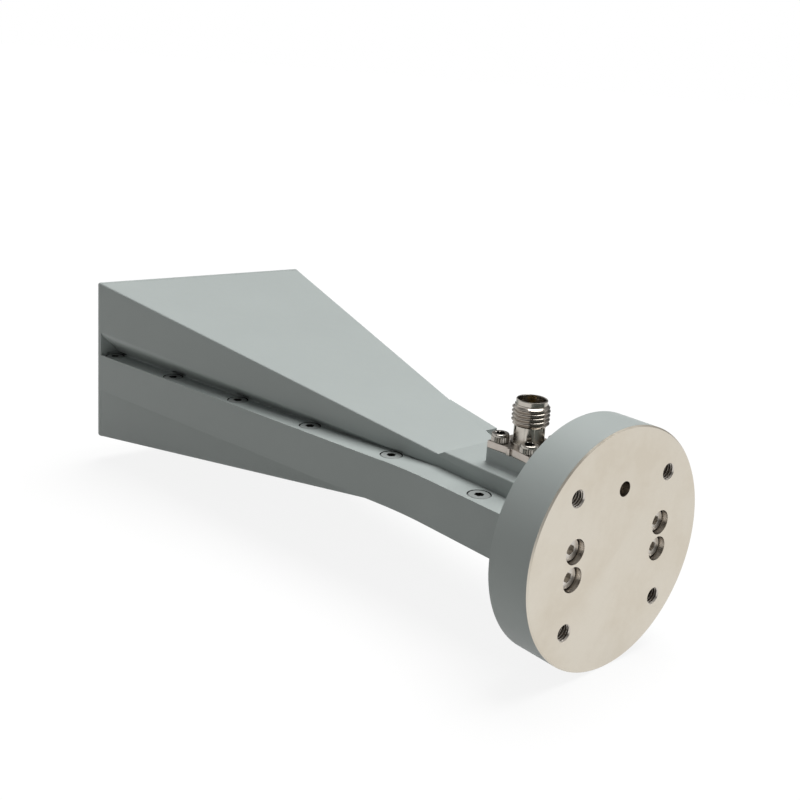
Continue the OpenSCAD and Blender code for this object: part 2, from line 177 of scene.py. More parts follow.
# %% [markdown]
# ## Floor
# The antenna lies in a plain white space. The camera and reflections see a floor that glows
# white, with a small share of real shading in it that keeps the antenna's shadow. All other
# light meets a grey floor that sends about half of it back up, because that light is what
# reaches the antenna's near side.

# %% Floor and backdrop
FLOOR_SIZE = 400.0
FLOOR_BOUNCE = (0.48, 0.48, 0.47, 1)
FLOOR_SHADED = (0.98, 0.98, 0.98, 1)
FLOOR_SHADOW_SHARE = 0.12

floor_material = new_material("floor_white")
path = add_node(floor_material, "ShaderNodeLightPath")
seen = add_node(floor_material, "ShaderNodeMath", operation="MAXIMUM")
join(floor_material, path.outputs["Is Camera Ray"], seen.inputs[0])
join(floor_material, path.outputs["Is Glossy Ray"], seen.inputs[1])
glow = plain_shader(floor_material, "ShaderNodeEmission", WHITE)
shaded = plain_shader(floor_material, "ShaderNodeBsdfDiffuse", FLOOR_SHADED)
bounce = plain_shader(floor_material, "ShaderNodeBsdfDiffuse", FLOOR_BOUNCE)
shown = mix_shaders(floor_material, FLOOR_SHADOW_SHARE, glow, shaded)
floor_out = add_node(floor_material, "ShaderNodeOutputMaterial")
join(floor_material, mix_shaders(floor_material, seen.outputs[0], bounce, shown), floor_out.inputs["Surface"])

floor_mesh = bmesh.new()
bmesh.ops.create_grid(floor_mesh, x_segments=1, y_segments=1, size=FLOOR_SIZE / 2)
bmesh.ops.translate(floor_mesh, verts=floor_mesh.verts, vec=(0, 0, cad_box[0].z))
floor_data = bpy.data.meshes.new("floor")
floor_mesh.to_mesh(floor_data)
floor_mesh.free()
floor = bpy.data.objects.new("floor", floor_data)
floor_data.materials.append(floor_material)
collection.objects.link(floor)
print("floor at", round(cad_box[0].z / MM, 2), "mm")

# %% [markdown]
# ## Room
# Metal shows what stands round it, so the room has bright and dark sides, given as levels by
# compass heading. It is dark on the camera's side, which gives the metal its contrast. Only
# reflections see these bands, and other light gets a faint even fill. A grey ceiling serves
# both, and the camera sees plain white.

# %% Bands round the room
ROOM_BANDS = (
    (-180, 0.55), (-130, 0.70), (-75, 0.12), (-30, 0.12), (-10, 0.90), (60, 0.90),
    (76, 0.07), (140, 0.10), (180, 0.55),
)

world = bpy.data.worlds.new("white_room")
bpy.context.scene.world = world
world.use_nodes = True
world.node_tree.nodes.clear()
direction = add_node(world, "ShaderNodeTexCoord").outputs["Generated"]
heading = add_node(world, "ShaderNodeTexGradient", gradient_type="RADIAL")
join(world, direction, heading.inputs["Vector"])
bands = add_node(world, "ShaderNodeValToRGB")
join(world, heading.outputs["Fac"], bands.inputs["Fac"])
stops = bands.color_ramp.elements
while len(stops) < len(ROOM_BANDS):
    stops.new(0.5)
for stop, (degrees, level) in zip(stops, ROOM_BANDS):
    stop.position = degrees / 360 + 0.5
    stop.color = (level, level, level, 1)
print("room of", len(ROOM_BANDS), "bands")

# %% Ceiling, fill and white backdrop
CEILING = 0.28
CEILING_START, CEILING_FULL = 0.45, 0.80
ROOM_FILL = 0.04

height = add_node(world, "ShaderNodeSeparateXYZ")
join(world, direction, height.inputs["Vector"])
upwards = add_node(world, "ShaderNodeMapRange", interpolation_type="SMOOTHSTEP")
upwards.inputs["From Min"].default_value = CEILING_START
upwards.inputs["From Max"].default_value = CEILING_FULL
join(world, height.outputs["Z"], upwards.inputs["Value"])

world_path = add_node(world, "ShaderNodeLightPath")
fill = (ROOM_FILL, ROOM_FILL, ROOM_FILL, 1)
ceiling = (CEILING, CEILING, CEILING, 1)
sides = mix_colors(world, world_path.outputs["Is Glossy Ray"], fill, bands.outputs["Color"])
room_color = mix_colors(world, upwards.outputs["Result"], sides, ceiling)
room = plain_shader(world, "ShaderNodeBackground", room_color)
white = plain_shader(world, "ShaderNodeBackground", WHITE)
world_out = add_node(world, "ShaderNodeOutputWorld")
join(world, mix_shaders(world, world_path.outputs["Is Camera Ray"], room, white), world_out.inputs["Surface"])
bpy.context.scene.view_settings.view_transform = "Standard"
print("ceiling of", CEILING, "over a fill of", ROOM_FILL)

# %% [markdown]
# ## Key light
# One broad key light stands high over the far side, so hardly any of it falls straight on the
# near side. That side is lit by the floor instead, and only where nothing stands between. That
# is why the walls above the flange are darker than the flange itself.

# %% Key light
KEY_STRENGTH = 3.35
KEY_SPREAD = math.radians(46)
KEY_COLOR = (1.0, 1.0, 0.99)
KEY_FROM = Vector((0.05, -0.33, 0.94))
KEY_DISTANCE = 0.5

key_data = bpy.data.lights.new("key", "SUN")
key_data.energy = KEY_STRENGTH
key_data.angle = KEY_SPREAD
key_data.color = KEY_COLOR
key = bpy.data.objects.new("key", key_data)
key.rotation_mode = "QUATERNION"
key.rotation_quaternion = (-KEY_FROM).to_track_quat("-Z", "Y")
key.location = KEY_FROM * KEY_DISTANCE
collection.objects.link(key)
print("key light from", [round(c, 2) for c in KEY_FROM])

# %% [markdown]
# ## Finishes
# Each finish is a small node tree on Object coordinates, in metres, so a grain of a tenth of
# a millimetre stays a tenth of a millimetre on every piece. Noise gives each finish its
# clouds of colour, its uneven gloss and its relief, and the helpers here make one of each.


# %% Noise, ranges and relief
def noise(material, place, scale, detail=2.0, roughness=0.5):
    node = add_node(material, "ShaderNodeTexNoise")
    node.inputs["Scale"].default_value = scale
    node.inputs["Detail"].default_value = detail
    node.inputs["Roughness"].default_value = roughness
    join(material, place, node.inputs["Vector"])
    return node.outputs["Fac"]


def remap(material, value, low, high, span=(0.0, 1.0)):
    node = add_node(material, "ShaderNodeMapRange")
    node.inputs["From Min"].default_value, node.inputs["From Max"].default_value = span
    node.inputs["To Min"].default_value = low
    node.inputs["To Max"].default_value = high
    join(material, value, node.inputs["Value"])
    return node.outputs["Result"]


def bump(material, height, distance, strength, below=None):
    node = add_node(material, "ShaderNodeBump")
    node.inputs["Distance"].default_value = distance
    node.inputs["Strength"].default_value = strength
    join(material, height, node.inputs["Height"])
    if below is not None:
        join(material, below, node.inputs["Normal"])
    return node.outputs["Normal"]


def two_tone(material, factor, first, second):
    return mix_colors(material, factor, (*first, 1), (*second, 1))


def surface(material, metallic):
    """The material's shader and its Object coordinates."""
    out = add_node(material, "ShaderNodeOutputMaterial")
    shader = add_node(material, "ShaderNodeBsdfPrincipled")
    shader.inputs["Metallic"].default_value = metallic
    join(material, shader.outputs[0], out.inputs["Surface"])
    coordinates = add_node(material, "ShaderNodeTexCoord")
    return shader, coordinates.outputs["Object"]


print("finish helpers made")

# %% [markdown]
# ### Paint
# The shells and the disc's rim carry one sprayed satin coat. Such a coat is even in colour,
# with a faint orange peel where the drops ran together and a finer speck on top of it. The
# screw heads were painted too, darker and less evenly, since a tool has been on them.


# %% Sprayed satin paint
def sprayed_paint(name, light, dark):
    material = new_material(name)
    shader, place = surface(material, metallic=0.0)
    cloud = noise(material, place, scale=60, detail=3.0)
    join(material, two_tone(material, cloud, dark, light), shader.inputs["Base Color"])
    gloss = noise(material, place, scale=420, detail=3.0)
    join(material, remap(material, gloss, low=0.40, high=0.54), shader.inputs["Roughness"])
    speck = noise(material, place, scale=9000, detail=1.0)
    fine = bump(material, speck, distance=0.004 * MM, strength=0.35)
    peel = noise(material, place, scale=2600, roughness=0.45)
    relief = bump(material, peel, distance=0.012 * MM, strength=0.45, below=fine)
    join(material, relief, shader.inputs["Normal"])
    return material


paint = sprayed_paint("satin_grey_paint", (0.398, 0.436, 0.427), (0.370, 0.406, 0.398))
screw_paint = sprayed_paint("painted_screw_head", (0.330, 0.352, 0.347), (0.285, 0.305, 0.300))
print("paint made")

# %% [markdown]
# ### Turned and milled metal
# A face turned on a lathe carries fine rings about its axis. Their radius comes from two of
# the object coordinates, and a noise read along that radius gives rings that differ in depth,
# as tool marks do. Milled metal gets a fine random grain. Broad, faint clouds on both stand
# for handling marks.


# %% Turned metal
X_AXIS, Z_AXIS = 0, 2
CONNECTOR_X = sum(corner.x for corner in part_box("support_bead")) / 2


def radius_about(material, place, axis, centre):
    shift = add_node(material, "ShaderNodeMapping", vector_type="POINT")
    shift.inputs["Location"].default_value = [-c for c in centre]
    shift.inputs["Scale"].default_value = [0 if i == axis else 1 for i in range(3)]
    join(material, place, shift.inputs["Vector"])
    length = add_node(material, "ShaderNodeVectorMath", operation="LENGTH")
    join(material, shift.outputs["Vector"], length.inputs[0])
    return length.outputs["Value"]


def turned_metal(name, light, dark, rough, axis, centre, ring_scale, ring_depth):
    material = new_material(name)
    shader, place = surface(material, metallic=1.0)
    marks = noise(material, place, scale=95, detail=4.0, roughness=0.6)
    cloud = remap(material, marks, low=0.0, high=1.0, span=(0.36, 0.64))
    join(material, two_tone(material, cloud, dark, light), shader.inputs["Base Color"])
    join(material, remap(material, cloud, *rough), shader.inputs["Roughness"])
    rings = add_node(material, "ShaderNodeTexNoise", noise_dimensions="1D")
    rings.inputs["Scale"].default_value = ring_scale
    rings.inputs["Detail"].default_value = 3.0
    join(material, radius_about(material, place, axis, centre), rings.inputs["W"])
    fine = bump(material, noise(material, place, scale=5200), distance=0.005 * MM, strength=0.4)
    relief = bump(material, rings.outputs["Fac"], ring_depth, strength=0.5, below=fine)
    join(material, relief, shader.inputs["Normal"])
    return material


disc_face = turned_metal(
    "turned_aluminium", (0.755, 0.705, 0.615), (0.635, 0.578, 0.485), (0.32, 0.50),
    axis=X_AXIS, centre=(0, 0, 0), ring_scale=1500, ring_depth=0.01 * MM,
)
connector_steel = turned_metal(
    "turned_stainless", (0.60, 0.565, 0.51), (0.40, 0.37, 0.33), (0.14, 0.30),
    axis=Z_AXIS, centre=(CONNECTOR_X, 0, 0), ring_scale=5200, ring_depth=0.006 * MM,
)
print("connector's axis at x", round(CONNECTOR_X / MM, 3), "mm")


# %% Milled metal
def milled_metal(name, light, dark, rough, scale=700):
    material = new_material(name)
    shader, place = surface(material, metallic=1.0)
    cloud = noise(material, place, scale, detail=4.0, roughness=0.6)
    join(material, two_tone(material, cloud, dark, light), shader.inputs["Base Color"])
    join(material, remap(material, cloud, *rough), shader.inputs["Roughness"])
    relief = bump(material, noise(material, place, scale=6500), distance=0.005 * MM, strength=0.5)
    join(material, relief, shader.inputs["Normal"])
    return material


hole_metal = milled_metal("drilled_aluminium", (0.84, 0.79, 0.72), (0.40, 0.36, 0.32), (0.20, 0.38))
inside_metal = milled_metal("bare_horn_inside", (0.66, 0.65, 0.62), (0.56, 0.55, 0.53), (0.38, 0.55), 160)
screw_steel = milled_metal("screw_steel", (0.86, 0.82, 0.76), (0.50, 0.47, 0.43), (0.22, 0.40))
pin_steel = milled_metal("ground_pin_steel", (0.62, 0.62, 0.62), (0.55, 0.55, 0.55), (0.2, 0.3))
plate_steel = milled_metal("milled_stainless", (0.60, 0.55, 0.50), (0.36, 0.32, 0.285), (0.26, 0.46))
knurl_steel = milled_metal("knurled_stainless", (0.58, 0.55, 0.50), (0.26, 0.24, 0.215), (0.20, 0.38))
thread_steel = milled_metal("threaded_stainless", (0.52, 0.48, 0.43), (0.30, 0.27, 0.24), (0.14, 0.26))
# Near black: a painted shade for the sockets and the counterbore gaps, where little light gets in.
socket_painted_shade = milled_metal("socket_painted_shade", (0.06, 0.055, 0.05), (0.03, 0.028, 0.025), (0.5, 0.7))
gold = milled_metal("plated_contact", (0.86, 0.66, 0.30), (0.78, 0.58, 0.25), (0.18, 0.3))
print("metals made")

# %% [markdown]
# ### Plastic
# The bead and the sleeve insulate the inner conductor. They are turned from solid plastic, so
# they only have a faint clouding and a very fine grain.

# %% Plastic
DARKER_SHARE = 0.92


def insulating_plastic(name, color, rough):
    material = new_material(name)
    shader, place = surface(material, metallic=0.0)
    cloud = noise(material, place, scale=900, detail=3.0)
    darker = [c * DARKER_SHARE for c in color]
    join(material, two_tone(material, cloud, darker, color), shader.inputs["Base Color"])
    shader.inputs["Roughness"].default_value = rough
    relief = bump(material, noise(material, place, scale=7000), distance=0.004 * MM, strength=0.3)
    join(material, relief, shader.inputs["Normal"])
    return material


bead_plastic = insulating_plastic("bead_plastic", (0.62, 0.55, 0.40), 0.5)
sleeve_plastic = insulating_plastic("sleeve_plastic", (0.84, 0.84, 0.80), 0.45)
print("plastics made")

# %% [markdown]
# ## Round parts
# Round parts are made the way a lathe makes them: a short outline is drawn on one side of the
# axis and spun right round it. Each is drawn upright about its own axis and then put in place.

# %% Lathe
WELD = 1e-7


def outline(points):
    """A chain of edges through (radius, height) points in the XZ plane."""
    mesh = bmesh.new()
    tip = bmesh.ops.create_vert(mesh, co=(points[0][0], 0, points[0][1]))["vert"][0]
    for radius, height in points[1:]:
        tip = bmesh.ops.extrude_vert_indiv(mesh, verts=[tip])["verts"][0]
        tip.co = (radius, 0, height)
    return mesh


def lathe(points, steps):
    mesh = outline([(radius * MM, height * MM) for radius, height in points])
    bmesh.ops.spin(
        mesh, geom=mesh.verts[:] + mesh.edges[:], cent=(0, 0, 0), axis=(0, 0, 1), angle=2 * math.pi,
        steps=steps, use_merge=True,
    )
    bmesh.ops.remove_doubles(mesh, verts=mesh.verts, dist=WELD)
    return mesh


print("lathe ready")

# %% [markdown]
# ### Screw threads
# A screw thread is one pitch of its outline, moved along the axis while it turns. It is wound
# a little past both ends, and what lies beyond an end is moved to the end's own height and
# radius, so the thread fades out as a cut one does.

# %% Screw cutting
SPARE_TURNS = 2
RUN_IN_TURNS = 1.5
THREAD_WELD = 2e-6


def screw_thread(tooth, pitch, low, high, end_radius, steps):
    """One tooth's (radius, height) outline, a pitch long, wound from low to high."""
    turns = math.ceil((high - low) / pitch) + SPARE_TURNS
    start = low - RUN_IN_TURNS * pitch
    mesh = outline([(radius * MM, (start + height) * MM) for radius, height in tooth])
    bmesh.ops.spin(
        mesh, geom=mesh.verts[:] + mesh.edges[:], cent=(0, 0, 0), axis=(0, 0, 1),
        dvec=(0, 0, pitch * MM / steps), angle=2 * math.pi * turns, steps=steps * turns,
    )
    inward = end_radius > tooth[0][0]
    for vert in mesh.verts:
        height = vert.co.z / MM
        radius = math.hypot(vert.co.x, vert.co.y) / MM
        room_left = min(height - low, high - height)
        if room_left <= 0:
            limit = end_radius
        elif inward:
            limit = max(radius, end_radius - room_left)
        else:
            limit = min(radius, end_radius + room_left)
        vert.co.x *= limit / radius
        vert.co.y *= limit / radius
        vert.co.z = min(max(height, low), high) * MM
    bmesh.ops.remove_doubles(mesh, verts=mesh.verts, dist=THREAD_WELD)
    bmesh.ops.dissolve_degenerate(mesh, edges=mesh.edges, dist=WELD)
    return mesh


print("screw cutting ready")

# %% [markdown]
# ### Rings, copies and finished objects
# A head with a knurl and a hexagon isn't round all the way, so its rings are extruded one
# above the other, each with its own radius at each angle. Like screws are one mesh, copied to
# their places. A finished piece gets weighted normals: broad faces keep their own, so only
# narrow ones shade round.


# %% Rings and copies
def corners_in(items):
    return [item for item in items if isinstance(item, bmesh.types.BMVert)]


def ring_above(mesh, loop, radius_at, height):
    """Extrudes a closed loop of edges and puts each new corner at its angle's radius."""
    made = bmesh.ops.extrude_edge_only(mesh, edges=loop)["geom"]
    corners = corners_in(made)
    for vert in corners:
        angle = math.atan2(vert.co.y, vert.co.x)
        radius = radius_at(angle) if callable(radius_at) else radius_at
        vert.co = (radius * MM * math.cos(angle), radius * MM * math.sin(angle), height * MM)
    fresh = set(corners)
    return [item for item in made if isinstance(item, bmesh.types.BMEdge) and set(item.verts) <= fresh]


def place_copies(mesh, matrices):
    """Leaves one copy of the mesh at each matrix."""
    first = mesh.verts[:] + mesh.edges[:] + mesh.faces[:]
    for matrix in matrices[1:]:
        twin = bmesh.ops.duplicate(mesh, geom=first)["geom"]
        bmesh.ops.transform(mesh, matrix=matrix, verts=corners_in(twin))
    bmesh.ops.transform(mesh, matrix=matrices[0], verts=corners_in(first))


print("rings and copies ready")

# %% Finished objects
MODEL_WELD = 1e-6


def finish_piece(name, mesh, materials, nodes=(), smooth_below=35):
    """Makes the object, which rides on the body and may stand for nodes of the frame."""
    bmesh.ops.recalc_face_normals(mesh, faces=mesh.faces)
    limit = math.radians(smooth_below)
    for face in mesh.faces:
        face.smooth = True
    for edge in mesh.edges:
        edge.smooth = len(edge.link_faces) == 2 and edge.calc_face_angle(0) < limit
    data = bpy.data.meshes.new(name)
    mesh.to_mesh(data)
    mesh.free()
    for material in materials:
        data.materials.append(material)
    piece = bpy.data.objects.new(name, data)
    collection.objects.link(piece)
    weighted = piece.modifiers.new("weighted_normals", "WEIGHTED_NORMAL")
    weighted.keep_sharp = True
    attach(piece, BODY)
    if nodes:
        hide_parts(*nodes)
    print(name, len(data.vertices), "corners,", len(data.polygons), "faces")
    return piece


def merged_copy(node):
    """A frame node's mesh with its doubled corners merged, as a new mesh to work on."""
    mesh = bmesh.new()
    mesh.from_mesh(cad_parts[node].data)
    bmesh.ops.remove_doubles(mesh, verts=mesh.verts, dist=MODEL_WELD)
    return mesh


print("ready to finish pieces")

# %% [markdown]
# ## Mounting disc
# The disc is turned from bar and drilled. Its rim and back were sprayed with the shells, and
# the face that bolts to a bracket was left bare, so the copy of the measured disc gets two
# finishes, and a third in its holes.

# %% Sort the disc's faces
DISC_R, DISC_T = 20.0, 8.0
RIM_BAND = 0.5
SKIN = 0.01
FACING, SIDEWAYS = 0.9, 0.3
HOLE_PITCH = (21.6, 21.5)
SINK_R = 1.45
BARE, PAINTED, DARK = 0, 1, 2
hole_centres = [(y * HOLE_PITCH[0] / 2, z * HOLE_PITCH[1] / 2) for y in (-1, 1) for z in (-1, 1)]

disc = merged_copy("mounting_disc")
walls = []
for face in disc.faces:
    centre = face.calc_center_median() / MM
    radius = math.hypot(centre.y, centre.z)
    on_rim = radius > DISC_R - RIM_BAND and abs(face.normal.x) < SIDEWAYS
    on_back = centre.x > DISC_T - SKIN and abs(face.normal.x) > FACING
    in_hole = SKIN < centre.x < DISC_T - SKIN and radius < DISC_R - RIM_BAND
    face.material_index = PAINTED if on_rim or on_back else DARK if in_hole else BARE
    if in_hole and any(math.hypot(centre.y - y, centre.z - z) < SINK_R for y, z in hole_centres):
        walls.append(face)
print("faces on the walls of the tapped holes:", len(walls))

# %% [markdown]
# ### Tapped holes
# The four M3 holes of the disc are tapped. The drilled wall is taken out of the copy and a cut
# thread is set in, because the light that catches each crest is what makes a hole look tapped.
# A ring of faces joins each end of the thread to the disc.

# %% Disc with tapped holes
TAP_R, ROOT_R, M3_PITCH = 1.25, 1.48, 0.5
TOOTH_FLAT, TOOTH_FLANK = 0.08, 0.13
THREAD_CLEAR = 0.02
RIM_REACH, HOLE_REACH = 0.3, 2

bmesh.ops.delete(disc, geom=walls, context="FACES")
tooth = [
    (TAP_R, 0), (TAP_R, TOOTH_FLAT), (ROOT_R, TOOTH_FLAT + TOOTH_FLANK),
    (ROOT_R, 2 * TOOTH_FLAT + TOOTH_FLANK), (TAP_R, 2 * TOOTH_FLAT + 2 * TOOTH_FLANK), (TAP_R, M3_PITCH),
]
tapped = screw_thread(tooth, M3_PITCH, THREAD_CLEAR, DISC_T, SINK_R + THREAD_CLEAR, steps=40)
turn_to_x = Matrix.Rotation(math.pi / 2, 4, "Y")
place_copies(tapped, [Matrix.Translation((0, y * MM, z * MM)) @ turn_to_x for y, z in hole_centres])
for face in tapped.faces:
    face.material_index = DARK
thread_data = bpy.data.meshes.new("tapped_holes")
tapped.to_mesh(thread_data)
tapped.free()
disc.from_mesh(thread_data)


def at_hole_end(vert, end, y, z):
    """True for a corner on the rim of the hole at (y, z), at one end of it."""
    x_off = abs(vert.co.x / MM - end)
    return x_off < RIM_REACH and math.hypot(vert.co.y / MM - y, vert.co.z / MM - z) < HOLE_REACH


for y, z in hole_centres:
    for end in (0, DISC_T):
        rims = [
            edge for edge in disc.edges
            if len(edge.link_faces) == 1 and all(at_hole_end(vert, end, y, z) for vert in edge.verts)
        ]
        for face in bmesh.ops.bridge_loops(disc, edges=rims)["faces"]:
            face.material_index = DARK
finish_piece(
    "disc_with_threads", disc, [disc_face, paint, hole_metal], ["mounting_disc"],
)

# %% [markdown]
# ## Horn shells
# The two halves are milled from solid, closed by their screws and then sprayed as one, so the
# joint between them hardly shows. The waveguide and the inside of the horn were masked and
# stay bare. To tell which face gets which finish, the horn's inside is described by its
# flare: each half width grows in a straight line from the throat to the mouth.

# %% Flare of the horn
THROAT_X, MOUTH_X = 34.4, 127.2
BACK_SHORT_X = 18.0
GUIDE_HALF_WIDE, GUIDE_HALF_HIGH = 3.556, 1.778
OPENING_HALF_WIDE, OPENING_UP, OPENING_DOWN = 20.99, 17.23, 11.88
WALL_SLACK, BACK_SLACK = 0.03, 0.02


def flare(x, at_throat, at_mouth):
    share = max(0.0, (x - THROAT_X) / (MOUTH_X - THROAT_X))
    return at_throat + (at_mouth - at_throat) * share


def inside_horn(point):
    """True on the walls of the waveguide and the flare, which end in an opening of 42 by 29 mm."""
    x, y, z = point / MM
    wide = flare(x, GUIDE_HALF_WIDE, OPENING_HALF_WIDE) + WALL_SLACK
    high = flare(x, GUIDE_HALF_HIGH, OPENING_UP) + WALL_SLACK
    deep = flare(x, GUIDE_HALF_HIGH, OPENING_DOWN) + WALL_SLACK
    return BACK_SHORT_X - BACK_SLACK < x < MOUTH_X + SKIN and abs(y) < wide and -deep < z < high


half_way = (THROAT_X + MOUTH_X) / 2
print("half width half way along:", round(flare(half_way, GUIDE_HALF_WIDE, OPENING_HALF_WIDE), 2), "mm")

# %% [markdown]
# ### Counterbores
# Each flange screw sits in a counterbore with a narrow gap round its head, where hardly any
# paint or light gets in, so the walls there, below the flange's top, get a near-black painted
# shade. The screws' places are read from the frame: a walk along the edges gathers the
# corners of one screw at a time, and the middle of their box is its axis.

# %% Find the flange screws
ledge_screw_places = []
screw_mesh = merged_copy("ledge_screws")
unseen = set(screw_mesh.verts)
while unseen:
    group, waiting = [], [unseen.pop()]
    while waiting:
        vert = waiting.pop()
        group.append(vert.co.copy())
        for edge in vert.link_edges:
            other = edge.other_vert(vert)
            if other in unseen:
                unseen.remove(other)
                waiting.append(other)
    xs, ys = [co.x for co in group], [co.y for co in group]
    ledge_screw_places.append(((min(xs) + max(xs)) / 2 / MM, (min(ys) + max(ys)) / 2 / MM))
screw_mesh.free()
print("flange screws at", [(round(x, 1), round(y, 1)) for x, y in sorted(ledge_screw_places)])

# %% Counterbores of the flange
FLANGE_TOP = 4.0
COUNTERBORE_REACH = 2.08
UPRIGHT = 0.1


def by_a_screw(face):
    """True where all of the face's corners lie within one flange screw's counterbore."""
    return any(
        all(math.hypot(vert.co.x / MM - x, vert.co.y / MM - y) < COUNTERBORE_REACH for vert in face.verts)
        for x, y in ledge_screw_places
    )


def in_counterbore(face):
    low = all(abs(vert.co.z) < (FLANGE_TOP + SKIN) * MM for vert in face.verts)
    return low and by_a_screw(face)


def cut_faces(mesh, faces, place, normal, dist):
    """Cuts these faces along a plane and leaves the others whole."""
    verts = dict.fromkeys(vert for face in faces for vert in face.verts)
    edges = dict.fromkeys(edge for face in faces for edge in face.edges)
    bmesh.ops.bisect_plane(
        mesh, geom=[*verts, *edges, *faces], dist=dist, plane_co=place, plane_no=normal,
    )


def split_counterbores(mesh):
    """Cuts the walls of the counterbores at the flange's top, where the paint gives way to a painted shade.
    """
    bore_walls = [face for face in mesh.faces if abs(face.normal.z) < UPRIGHT and by_a_screw(face)]
    cut_faces(mesh, bore_walls, (0, 0, FLANGE_TOP * MM), (0, 0, 1), WELD)
    print("counterbore walls cut:", len(bore_walls))


# %% [markdown]
# ### The cove under the upper walls
# A ball-nosed cutter that makes room for the screws leaves an S-shaped foot on the wall: it
# curves in under the wall and comes out again onto the flange as a small fillet. The model has
# that foot as a plain arc, which shrinks in a straight line to nothing at the throat. So the
# foot is cut into narrow strips by planes that all meet at the throat, and then each point
# only moves sideways, by an amount that depends on its share of the foot's height.

# %% Shape of the cove
FOOT_HIGH, FOOT_END_X = 5.4, 125.5
COVE_DEEP, COVE_R = 3.75, 0.4
BLOCK_HALF, MOUTH_HALF = 7.2, 25.79


def foot_scale(x):
    return (x - THROAT_X) / (FOOT_END_X - THROAT_X)


def cove_depth(rise):
    """Depth of the full-size cove below the wall's plane, at a height above the flange."""
    if rise < COVE_R:
        return COVE_DEEP - COVE_R + math.sqrt(max(0.0, COVE_R ** 2 - (COVE_R - rise) ** 2))
    share = (rise - COVE_R) / (FOOT_HIGH - COVE_R)
    return COVE_DEEP * (1 + math.cos(math.pi * min(1.0, share))) / 2


print("cove's depth at the flange and half way up:", cove_depth(0), round(cove_depth(FOOT_HIGH / 2), 2), "mm")

# %% Cut and move the cove
COVE_STRIPS = 20
STRIP_CROWDING = 1.4
COVE_WELD = 1e-8
SMALLEST_SCALE = 0.001
LEAN = 0.02
END_CLEAR = 0.2


def is_foot(face):
    """True for a face that leans over the flange: the arcs under the two upper walls."""
    centre = face.calc_center_median() / MM
    leans = face.normal.z < -LEAN and abs(face.normal.y) > SIDEWAYS
    along = THROAT_X < centre.x < FOOT_END_X - END_CLEAR
    return leans and along and FLANGE_TOP < centre.z < FLANGE_TOP + FOOT_HIGH


def shape_cove(mesh):
    for step in range(1, COVE_STRIPS):
        rise = FOOT_HIGH * (step / COVE_STRIPS) ** STRIP_CROWDING
        slope = rise / (FOOT_END_X - THROAT_X)
        faces = [face for face in mesh.faces if is_foot(face)]
        normal = Vector((-slope, 0, 1)).normalized()
        cut_faces(mesh, faces, (THROAT_X * MM, 0, FLANGE_TOP * MM), normal, COVE_WELD)
    faces = [face for face in mesh.faces if is_foot(face)]
    for vert in {vert for face in faces for vert in face.verts}:
        x, y, z = vert.co / MM
        size = foot_scale(x)
        if size > SMALLEST_SCALE:
            rise = min(FOOT_HIGH, max(0.0, (z - FLANGE_TOP) / size))
            wall = flare(x, BLOCK_HALF, MOUTH_HALF)
            vert.co.y = math.copysign(wall - cove_depth(rise) * size, y) * MM
    bmesh.ops.triangulate(mesh, faces=faces)
    mesh.normal_update()
    print("cove strips:", len(faces))


# %% [markdown]
# ### Broken edges
# The outer edges of the flange were broken by hand with a file before painting. A narrow bevel
# there gives the thin line of light that such an edge carries. It goes on the long, sharp
# edges at the flange's top and bottom only.

# %% Finish the shells
SHARP_TURN = math.radians(80)
LONG_EDGE = 0.5
FLANGE_FREE_Y = 12.7
EDGE_BREAK = 0.06
FLAT_TURN = math.radians(0.05)
ON_PLANE = 1e-6


def on_flange_edge(vert):
    return abs(abs(vert.co.z) - FLANGE_TOP * MM) < ON_PLANE and abs(vert.co.y) > FLANGE_FREE_Y * MM


def is_flange_edge(edge):
    if len(edge.link_faces) != 2 or edge.calc_face_angle(0) <= SHARP_TURN:
        return False
    return edge.calc_length() > LONG_EDGE * MM and all(on_flange_edge(vert) for vert in edge.verts)


for node in ("upper_shell", "lower_shell"):
    shell = merged_copy(node)
    bmesh.ops.dissolve_limit(
        shell, angle_limit=FLAT_TURN, verts=shell.verts, edges=shell.edges, delimit={"NORMAL"},
    )
    if node == "upper_shell":
        shape_cove(shell)
        split_counterbores(shell)
    for face in shell.faces:
        if all(inside_horn(vert.co) for vert in face.verts):
            face.material_index = 1
        # Faces low in a counterbore get the near-black painted shade.
        elif in_counterbore(face):
            face.material_index = 2
    flange_edges = [edge for edge in shell.edges if is_flange_edge(edge)]
    bmesh.ops.bevel(
        shell, geom=flange_edges, offset=EDGE_BREAK * MM, offset_type="OFFSET", segments=2, profile=0.5,
        affect="EDGES", material=-1, clamp_overlap=True,
    )
    print(node, "flange edges broken:", len(flange_edges))
    finish_piece(
        node + "_finished", shell, [paint, inside_metal, socket_painted_shade], [node],
        smooth_below=30,
    )

# %% [markdown]
# ## Cap screws
# The screws are socket cap screws. A small one is cold headed: a bar end is struck into a
# cylinder with a hexagonal socket, and the grip is knurled by rolling. The head is drawn as a
# stack of rings of equal count, so the flutes, the flat top and the hexagon share corners.

# %% Cap screw
KNURL_SHARPNESS = 0.7
SOCKET_FLOOR_SHARE = 0.45
SOCKET_CHAMFER, SOCKET_EDGE = 1.12, 1.14


